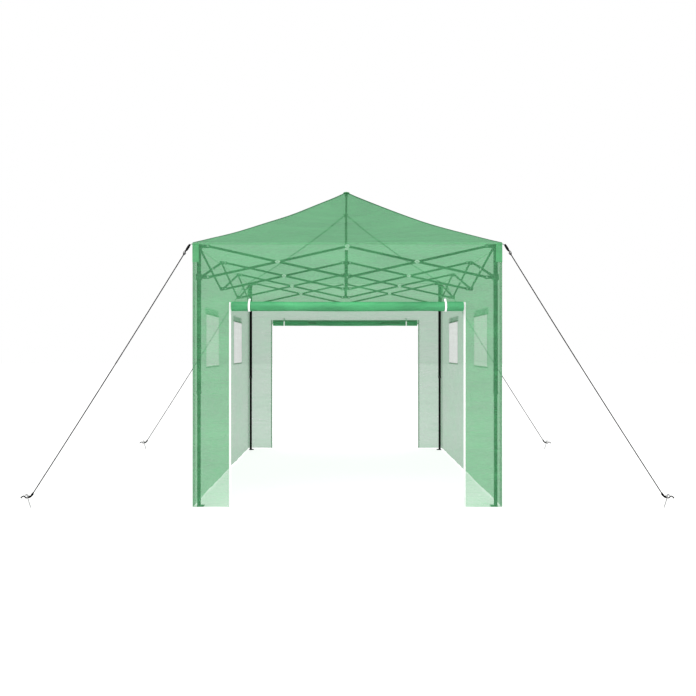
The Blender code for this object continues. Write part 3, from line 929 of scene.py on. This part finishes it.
def leg_details():
    """Each leg's snap buttons, button holes, the ring at its outer tube's end and its foot's eyelet."""
    for name, side, end in CORNERS:
        x, y = side * LEG_X, end * LEG_Y
        inward = Vector((-side, 0, 0))
        base = Vector((x, y, RING_Z)) + inward * RING_FACE
        fitting(f"leg_button_{name}", [turned(BUTTON, base, inward, 14), turned(WASHER, base, inward, 14)],
                ZINC, f"leg_outer_{name}")
        slide = Vector((x, y, LOW_Z - 0.006)) + inward * SLIDER_FACE
        fitting(f"slider_button_{name}", [turned(SLIDER_BUTTON, slide, inward, 14)], BLACK_PLASTIC,
                f"leg_slider_{name}")
        rims = [turned(HOLE_RIM, Vector((x, y, z)) + inward * INNER_FACE, inward, 14) for z in HOLE_HEIGHTS]
        fitting(f"leg_holes_{name}", rims, ZINC, f"leg_inner_{name}")
        collar = (leg_ring(x, y), grid_faces(4, 8, closed=True))
        fitting(f"leg_collar_{name}", [collar], BLACK_PLASTIC, f"leg_outer_{name}")
        foot = Vector((x - side * FOOT_HOLE[0], y - end * FOOT_HOLE[1], FOOT_HOLE[2]))
        fitting(f"foot_eyelet_{name}", [turned(EYELET, foot, (0, 0, 1), 16)], ZINC, f"leg_inner_{name}")


COLLAR = [(0.0145, -0.030), (0.0175, -0.028), (0.0178, -0.004), (0.0160, 0.0005), (0.0096, 0.0012),
          (0.0096, -0.002), (0.0143, -0.004), (0.0143, -0.030)]


def post_details():
    """The collar at the top of each peak post."""
    for end, along in ENDS.items():
        collar = turned(COLLAR, (0, end * RIDGE_HALF, POST_HIGH.z), (0, 0, 1), 24)
        fitting(f"post_collar_{along}", [collar], WHITE_PLASTIC, f"peak_post_{along}")


# ---- guy ropes ----------------------------------------------------------------------------
def rope_route(side, end):
    """Points down a guy rope from its hook to its peg, with a little sag."""
    top = Vector((side * ROPE_TOP[0], end * ROPE_TOP[1], ROPE_TOP[2]))
    foot = Vector((side * ROPE_FOOT_X, ROPE_FOOT_Y[end], ROPE_FOOT_Z))
    shares = [i / (ROPE_POINTS - 1) for i in range(ROPE_POINTS)]
    return [top.lerp(foot, s) - Vector((0, 0, 4 * ROPE_SAG * s * (1 - s))) for s in shares]


def curve_piece(name, route, radius, look):
    """A round curve object along a route."""
    line = bpy.data.curves.new(name, "CURVE")
    line.dimensions = "3D"
    line.bevel_depth = radius
    line.bevel_resolution = 3
    line.use_fill_caps = True
    spline = line.splines.new("POLY")
    spline.points.add(len(route) - 1)
    for point, place in zip(spline.points, route):
        point.co = (*place, 1)
    line.materials.append(look)
    made = bpy.data.objects.new(name, line)
    bpy.context.scene.collection.objects.link(made)
    return made


def smooth_route(points, count):
    """count points on a smooth curve through points."""
    places = [Vector(p) for p in points]
    padded = [places[0] * 2 - places[1], *places, places[-1] * 2 - places[-2]]
    out = []
    for i in range(count):
        t = i / (count - 1) * (len(places) - 1)
        k = min(int(t), len(places) - 2)
        s = t - k
        a, b, c, d = padded[k:k + 4]
        out.append(0.5 * (2 * b + (c - a) * s + (2 * a - 5 * b + 4 * c - d) * s**2
                          + (3 * b - a - 3 * c + d) * s**3))
    return out


def rope_strap(name, corner, top, line, face):
    """The webbing strap between the cover's corner and a rope's hook."""
    flat = line.cross(face)
    ring = smooth_route([corner, corner.lerp(top, 0.5) + Vector((0, 0, 0.002)), top + line * 0.010], 10)
    strap = smooth_route([top + line * s for s in (-0.002, 0.018, 0.040, 0.058)], 12)
    widths = [face * (0.0065 + 0.0030 * math.sin(math.pi * k / 11)) for k in range(12)]
    points, faces = together([tube(ring, 0.0022, 8), band(strap, widths, flat * 0.0042)])
    return mend(piece(f"rope_strap_{name}", points, faces, WEBBING, [(p.x, p.z) for p in points]))


def rope_hook(name, top, line, face):
    """The bent hook between a strap and its rope."""
    bends = ((-0.020, 0.001), (-0.008, 0.009), (0.010, 0.009), (0.022, 0.0), (0.012, -0.008),
             (-0.002, -0.008))
    middle = top + line * 0.074
    wire = tube(smooth_route([middle + line * a + face * b for a, b in bends], 22), 0.0028, 8)
    return closed_piece(f"rope_hook_{name}", [wire], BLACK_PLASTIC)


def rope_knot(name, foot, down, side):
    """The knot at a rope's foot and its loose end."""
    knot_at = foot + down * 0.004
    lump = [foot + down * (0.004 * k - 0.030) + Vector((0, 0, 0.0012 * math.sin(k * 1.1)))
            for k in range(11)]
    swell = [0.0036 + 0.0056 * math.sin(math.pi * k / 10) for k in range(11)]
    bottom = Vector((side, 0, -0.42)).normalized()
    wraps = [knot_at + bottom * 0.006 * k for k in range(6)]
    wrap_sizes = [0.0040, 0.0085, 0.0100, 0.0092, 0.0070, 0.0040]
    bends = ((0.042, 0.002, -0.014), (0.056, 0.004, -0.001), (0.070, 0.003, -0.004), (0.082, 0.002, -0.016))
    loose = [knot_at + bottom * 0.028] + [knot_at + Vector((side * x, y, z)) for x, y, z in bends]
    parts = [tube(lump, swell, 10), tube(wraps, wrap_sizes, 10), tube(smooth_route(loose, 20), 0.0050, 8)]
    return closed_piece(f"rope_knot_{name}", parts, CORD)


def rope_peg(name, foot, side):
    """A steel peg with a bent head, pushed in through a rope's end."""
    tip = Vector((foot.x + side * 0.002, foot.y - 0.004, 0.004))
    crown = Vector((foot.x + side * 0.036, foot.y - 0.004, 0.113))
    shaft = (crown - tip).normalized()
    over = Vector((side, 0, 0.3)).normalized()
    bends = ((-0.022, -0.020), (-0.012, -0.004), (0.0, 0.003), (0.010, -0.006), (0.016, -0.018))
    head = smooth_route([crown + over * a + shaft * b for a, b in bends], 16)
    rod = [tip.lerp(crown, k / 12) for k in range(13)]
    rod_sizes = [0.0010, 0.0032] + [0.0038] * 11
    return closed_piece(f"rope_peg_{name}", [tube(rod, rod_sizes, 10), tube(head, 0.0034, 8)], PEG_STEEL)


def guy_rope(name, side, end):
    """One guy rope with its strap, hook, knot and peg. They all stay with the leg they brace."""
    route = rope_route(side, end)
    top, foot = route[0], route[-1]
    rope = curve_piece(f"rope_{name}", route, ROPE_RADIUS, CORD)
    line = (route[3] - top).normalized()
    face = line.cross(Vector((0, 0, 1))).cross(line).normalized()
    past, back, seam_z = STRAP_SEAM
    corner = Vector((side * (COVER_X + past), end * (COVER_Y - back), seam_z))
    webbing = rope_strap(name, corner, top, line, face)
    clip = rope_hook(name, top, line, face)
    knot = rope_knot(name, foot, (foot - route[-4]).normalized(), side)
    peg = rope_peg(name, foot, side)
    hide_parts(f"guy_rope_{name}")
    for made in (rope, webbing, clip, knot, peg):
        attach(made, f"leg_outer_{name}")


# ---- looks of the frame's own nodes -------------------------------------------------------
def dress_frame():
    """Gives the CAD nodes their materials."""
    for name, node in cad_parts.items():
        if name.startswith("bar_"):
            look = BAR_STEEL
        elif name.startswith(("hub_", "leg_slider")):
            look = PLASTIC
        else:
            look = STEEL
        node.data.materials.clear()
        node.data.materials.append(look)


# ---- floor, light and camera --------------------------------------------------------------
def soft_light(name, place, power, width):
    """A square area light that faces the greenhouse."""
    light = bpy.data.lights.new(name, "AREA")
    light.energy = power
    light.size = width
    lamp = bpy.data.objects.new(name, light)
    lamp.location = place
    lamp.rotation_euler = (Vector((0, 0, 1)) - Vector(place)).to_track_quat("-Z", "Y").to_euler()
    bpy.context.scene.collection.objects.link(lamp)


def studio():
    """A pale floor, white surroundings and two large soft lights."""
    size = 60.0
    made = piece("floor", [(-size, -size, 0), (size, -size, 0), (size, size, 0), (-size, size, 0)],
                 [(0, 1, 2, 3)], floor_look())
    world = bpy.data.worlds.new("studio")
    bpy.context.scene.world = world
    world.use_nodes = True
    backdrop = world.node_tree.nodes["Background"]
    backdrop.inputs["Color"].default_value = (1, 1, 1, 1)
    backdrop.inputs["Strength"].default_value = 1.0
    soft_light("key", (-4.5, -6.5, 7.5), 420.0, 5.0)
    soft_light("fill", (6.0, -3.0, 6.0), 260.0, 5.0)
    bpy.context.scene.view_settings.view_transform = "Standard"


def floor_look():
    """A pale matt floor that glows a little, so that it meets the white surroundings unseen."""
    n = Nodes("pale_floor")
    place = n.place()
    cloud = n.noise(place, 0.7, 3.0)
    tint = n.blend(n.span(cloud, 0.3, 0.7, 0.0, 1.0), (0.40, 0.40, 0.40, 1), (0.42, 0.42, 0.42, 1))
    shader = n.add("BsdfPrincipled", {"Base Color": tint, "Roughness": 0.9, "Specular IOR Level": 0.0,
                                      "Emission Color": (1, 1, 1, 1), "Emission Strength": 0.72})
    return n.finish(shader.outputs[0])


def camera():
    """A viewpoint straight in front of the doorway, about 1.2 m up."""
    data = bpy.data.cameras.new("camera")
    data.sensor_width = 36.0
    data.lens = 40.3
    data.shift_x = 0.0093
    data.shift_y = 0.003
    made = bpy.data.objects.new("camera", data)
    made.location = (-0.046, -7.97, 1.244)
    made.rotation_euler = (math.pi / 2, 0, 0)
    bpy.context.scene.collection.objects.link(made)
    bpy.context.scene.camera = made


camera()
for corner_name, corner_side, corner_end in CORNERS:
    guy_rope(corner_name, corner_side, corner_end)
end_walls()
side_walls()
corners()
roof()
eave_bands()
peak_patches()
bar_fittings()
centre_plates()
leg_details()
post_details()
dress_frame()
studio()
bpy.context.view_layer.update()
